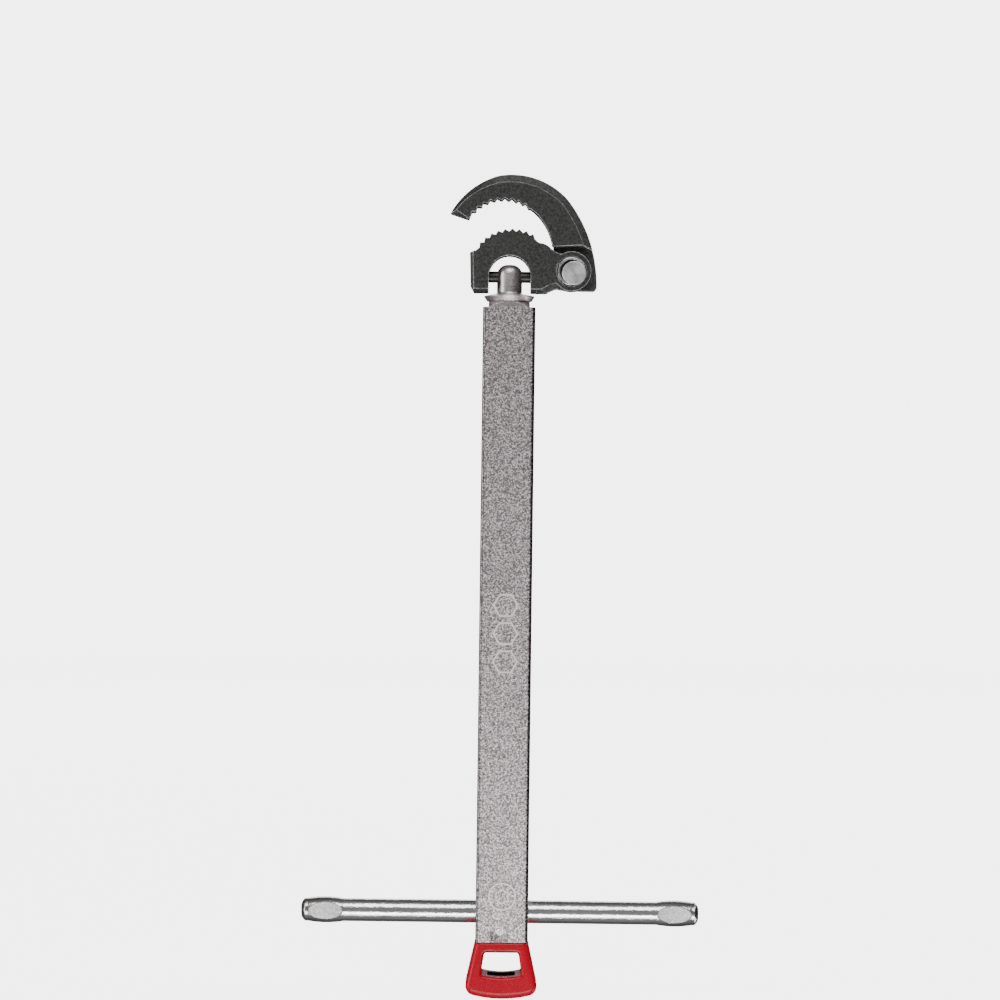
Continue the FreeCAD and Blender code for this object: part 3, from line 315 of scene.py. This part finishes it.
def chrome(name):
    """Chromium plate with hairline polishing marks along the bar, rougher ends painted darker as a
    painted dark reflection, and a frosted look on the facets that the dies pressed in."""
    s = Shader(name)
    low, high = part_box("t_bar")
    parts = s.parts(s.shifted((low + high) / 2))
    along = s.math("ABSOLUTE", parts["X"])
    squares = [s.math("POWER", parts[axis], 2) for axis in ("Z", "Y")]
    radius = s.math("POWER", s.math("ADD", *squares), 0.5)
    # A facet lies well inside the radius that the round, swollen bar would have there.
    share = s.math("DIVIDE", s.math("SUBTRACT", along, SWELL_MIDDLE), SWELL_HALF)
    share = s.math("ABSOLUTE", share)
    bow = s.math("SUBTRACT", 1.0, s.math("POWER", share, 2))
    full_radius = s.math("ADD", s.math("MULTIPLY", bow, SWELL_RISE), BAR_RADIUS)
    facet = s.span(s.math("SUBTRACT", full_radius, radius), 0.00006, 0.00018)
    facet = s.math("MULTIPLY", facet, s.span(share, 0.97, 1.0, 1.0, 0.0))
    marks = s.noise(2600, 3.0, 0.6, s.stretch((0.03, 1.0, 1.0)))
    cloud = s.noise(240, 3.0, 0.6)
    frost = s.noise(2600, 2.0, 0.6)
    end = s.span(along, 0.0545, 0.0690)
    level = s.span(marks, 0.3, 0.7, 0.92, 1.04)
    level = s.math("MULTIPLY", level, s.span(cloud, 0.3, 0.7, 0.93, 1.03))
    colour = s.mix(1.0, (0.93, 0.92, 0.92), level, "MULTIPLY")
    # Painted dark reflection: brownish dark towards the bar's ends. The ends are also rougher.
    painted_dark_ends = s.math("MULTIPLY", end, s.span(cloud, 0.35, 0.65, 0.35, 0.75))
    colour = s.mix(painted_dark_ends, colour, (0.36, 0.31, 0.28))
    pressed = s.mix(s.span(frost, 0.38, 0.62), (0.50, 0.49, 0.49), (0.92, 0.91, 0.91))
    colour = s.mix(facet, colour, pressed)
    rough = s.math("ADD", s.span(marks, 0.3, 0.7, 0.14, 0.21), s.math("MULTIPLY", end, 0.05))
    rough = s.math("MAXIMUM", rough, s.math("MULTIPLY", facet, 0.52))
    normal = s.bump(marks, 0.000006, 0.5)
    normal = s.bump(s.noise(620, 3.0, 0.6), 0.00016, 0.8, normal)
    return s.finish(colour, 1.0, rough, normal)


def red_grip(name):
    """Satin red with a faint orange peel, paler along its edges from scuffs and a painted
    highlight, and painted near black down inside the square drive hole as painted shade."""
    s = Shader(name)
    peel = s.noise(420, 2.0, 0.5)
    fine = s.noise(2600, 2.0, 0.5)
    cloud = s.noise(70, 3.0, 0.6)
    skin = s.mix(s.span(cloud, 0.3, 0.7), (0.44, 0.0, 0.013), (0.50, 0.0, 0.017))
    skin = s.mix(s.span(fine, 0.35, 0.75, 0.0, 0.12), skin, (0.56, 0.02, 0.03))
    # Pale edges: scuff wear, and a painted highlight along the rounded edges.
    colour = s.mix(s.math("MULTIPLY", s.edges(0.0006, 0.02, 0.4), 0.6), skin, (0.74, 0.08, 0.10))
    # Painted shade: near black down inside the square drive hole, below the window's floor.
    across = s.math("MAXIMUM", *s.distances_across())
    inside = s.span(across, DRIVE_HALF, DRIVE_HALF + 0.00005, 1.0, 0.0)
    height = s.parts(s.place)["Z"]
    below = s.span(height, WINDOW_FLOOR, WINDOW_FLOOR + 0.0005, 1.0, 0.0)
    inside = s.math("MULTIPLY", inside, below)
    colour = s.mix(inside, colour, (0.012, 0.004, 0.004))
    normal = s.bump(peel, 0.00005, 0.5, s.soft_normal(0.0003))
    normal = s.bump(fine, 0.00001, 0.5, normal)
    return s.finish(colour, 0.0, s.span(fine, 0.3, 0.7, 0.22, 0.30), normal, specular=0.3)


def etched_ink(name):
    """The pale ivory of an electrolytic etch: frosted, uneven, worn through in specks."""
    s = Shader(name)
    specks = s.noise(2400, 3.0, 0.7)
    colour = s.mix(s.span(specks, 0.30, 0.55), (0.74, 0.70, 0.62), (1.0, 0.97, 0.87))
    rough = s.span(specks, 0.3, 0.7, 0.45, 0.6)
    return s.finish(colour, 0.1, rough, s.bump(specks, 0.00002, 0.5))


def paint(material, *names):
    """The named CAD nodes take this material in all their slots."""
    for name in names:
        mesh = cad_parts[name].data
        mesh.materials.clear()
        mesh.materials.append(material)


def finish_nodes():
    """Every CAD node gets its finish. The loop's insert is red like its skin, where it shows."""
    low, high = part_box("jaw_pivot_pin")
    paint(blasted_steel("blasted_tube", 0.56, 1.08, painted_dark_corners=0.55), "outer_tube")
    paint(blasted_steel("blasted_bar", 0.80, 0.30, 0.38), "extension_bar")
    paint(black_jaw("jaw_black"), "heel_jaw", "hook_jaw")
    paint(turned_steel("rivet_bright", (low + high) / 2), "jaw_pivot_pin")
    paint(wire_steel("washer_zinc", 0.5), "jaw_pin_washer")
    paint(wire_steel("spring_bright", 0.72), "jaw_spring")
    paint(wire_steel("spring_plain", 0.45), "detent_spring", "t_bar_spring")
    paint(wire_steel("ball_bright", 0.7), "detent_ball", "t_bar_ball")
    paint(dark_steel("pin_dark", 0.05, 0.35), "head_pivot_pin", "stop_pin")
    paint(dark_steel("screw_dark"), "t_bar_set_screw")
    paint(chrome("bar_chrome"), "t_bar")
    paint(red_grip("grip_red"), "loop_grip", "loop_core")


def ring_mesh(name, sides, radius, width, turn):
    """A flat outline with this many sides, facing -Y, as two rings of points and quads between."""
    points, faces = [], []
    for step in range(sides):
        angle = turn + 2 * math.pi * step / sides
        for reach in (radius - width / 2, radius + width / 2):
            points.append((reach * math.cos(angle), 0, reach * math.sin(angle)))
    for step in range(sides):
        a, b = 2 * step, 2 * ((step + 1) % sides)
        faces.append((a, a + 1, b + 1, b))
    mesh = bpy.data.meshes.new(name)
    mesh.from_pydata(points, [], faces)
    return mesh


def etch(name, sides, radius, width, z, turn=0.0):
    """One etched outline on the tube's front face, centred across it."""
    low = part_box("outer_tube")[0]
    piece = bpy.data.objects.new(name, ring_mesh(name, sides, radius, width, turn))
    scene.collection.objects.link(piece)
    piece.location = (0.0, low.y - MARK_PROUD, z)
    piece.data.materials.append(ink)
    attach(piece, "shank")


def marks():
    """Plain outlines where the tool is etched: a column of hexagons and a nut in a circle."""
    for index in range(NUT_COUNT):
        z = FIRST_NUT_Z + NUT_PITCH * index
        etch(f"etched_nut_{index + 1}", 6, NUT_RADIUS, NUT_LINE, z)
    etch("etched_circle", 48, CIRCLE_RADIUS, CIRCLE_LINE, CIRCLE_Z)
    etch("etched_small_nut", 6, SMALL_NUT_RADIUS, SMALL_NUT_LINE, CIRCLE_Z, math.radians(30))


def camera():
    """A level view along +Y, turned so that the object leans a little clockwise in the picture."""
    data = bpy.data.cameras.new("camera")
    cam = bpy.data.objects.new("camera", data)
    scene.collection.objects.link(cam)
    data.sensor_width = SENSOR_WIDTH
    data.lens = SENSOR_WIDTH * VIEW_DISTANCE / VIEW_WIDTH
    data.clip_start, data.clip_end = 0.05, 50
    x, z = VIEW_CENTRE
    cam.matrix_world = (
        Matrix.Translation((x, -VIEW_DISTANCE, z))
        @ Matrix.Rotation(math.radians(90), 4, "X")
        @ Matrix.Rotation(math.radians(VIEW_LEAN), 4, "Z")
    )
    scene.camera = cam


def light(name, size, power, place, target):
    """A white soft box that the camera doesn't see."""
    data = bpy.data.lights.new(name, "AREA")
    data.shape = "RECTANGLE"
    data.size, data.size_y = size
    data.energy = power
    lamp = bpy.data.objects.new(name, data)
    scene.collection.objects.link(lamp)
    lamp.location = place
    lamp.visible_camera = False
    lamp.rotation_euler = (Vector(target) - Vector(place)).to_track_quat("-Z", "Y").to_euler()


def studio():
    """Two long soft boxes in front, above and below the middle, a small one near the foot, one on
    the left, two on the right and one behind. The surround is a dim grey, darker to the right and
    at the back, and white where it is seen straight on."""
    for row in LIGHTS:
        light(*row)
    world = bpy.data.worlds.new("world")
    scene.world = world
    world.use_nodes = True
    tree = world.node_tree
    tree.nodes.clear()
    node, link = tree.nodes.new, tree.links.new
    out, mix = node("ShaderNodeOutputWorld"), node("ShaderNodeMixShader")
    seen, lit = node("ShaderNodeBackground"), node("ShaderNodeBackground")
    seen.inputs["Color"].default_value = (1, 1, 1, 1)
    seen.inputs["Strength"].default_value = BACKDROP_GLOW
    lit.inputs["Color"].default_value = (0.97, 0.985, 1, 1)
    place, parts = node("ShaderNodeTexCoord"), node("ShaderNodeSeparateXYZ")
    link(place.outputs["Generated"], parts.inputs[0])
    strength = node("ShaderNodeMath")
    strength.operation = "MULTIPLY"
    to_right, to_back = (0.25, 0.80, 0.20, 0.045), (-0.10, 0.20, 1.0, 0.45)
    for index, (axis, limits) in enumerate((("X", to_right), ("Y", to_back))):
        shade = node("ShaderNodeMapRange")
        link(parts.outputs[axis], shade.inputs[0])
        for socket, number in zip(shade.inputs[1:5], limits):
            socket.default_value = number
        link(shade.outputs["Result"], strength.inputs[index])
    link(strength.outputs[0], lit.inputs["Strength"])
    path = node("ShaderNodeLightPath")
    link(path.outputs["Is Camera Ray"], mix.inputs["Fac"])
    link(lit.outputs[0], mix.inputs[1])
    link(seen.outputs[0], mix.inputs[2])
    link(mix.outputs[0], out.inputs["Surface"])


def floor():
    """A pale disc under the object that fades out before its rim."""
    mesh = bpy.data.meshes.new("floor")
    angles = [step / 32 * math.pi for step in range(64)]
    rim = [(FLOOR_RADIUS * math.cos(a), FLOOR_RADIUS * math.sin(a), 0) for a in angles]
    mesh.from_pydata(rim, [], [tuple(range(64))])
    disc = bpy.data.objects.new("floor", mesh)
    scene.collection.objects.link(disc)
    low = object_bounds()[0]
    disc.location = (0, 0, low.z - 0.0002)
    s = Shader("floor_pale")
    cloud = s.noise(6, 2.0, 0.5)
    colour = s.mix(cloud, (0.86, 0.86, 0.865), (0.88, 0.88, 0.885))
    skin = s.finish(colour, 0.0, 0.9, specular=0.1)
    principled = next(n for n in s.tree.nodes if n.type == "BSDF_PRINCIPLED")
    s.feed(principled.inputs["Alpha"], s.span(s.length(s.place), *FLOOR_FADE, 1.0, 0.0))
    s.feed(principled.inputs["Emission Color"], (1.0, 1.0, 1.0))
    direct = s.node("ShaderNodeLightPath").outputs["Is Camera Ray"]
    s.feed(principled.inputs["Emission Strength"], s.math("MULTIPLY", direct, FLOOR_GLOW))
    mesh.materials.append(skin)
    disc.visible_glossy = False
    disc.visible_shadow = False
    disc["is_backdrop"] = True


ink = etched_ink("etch_ivory")
finish_nodes()
marks()
camera()
studio()
floor()
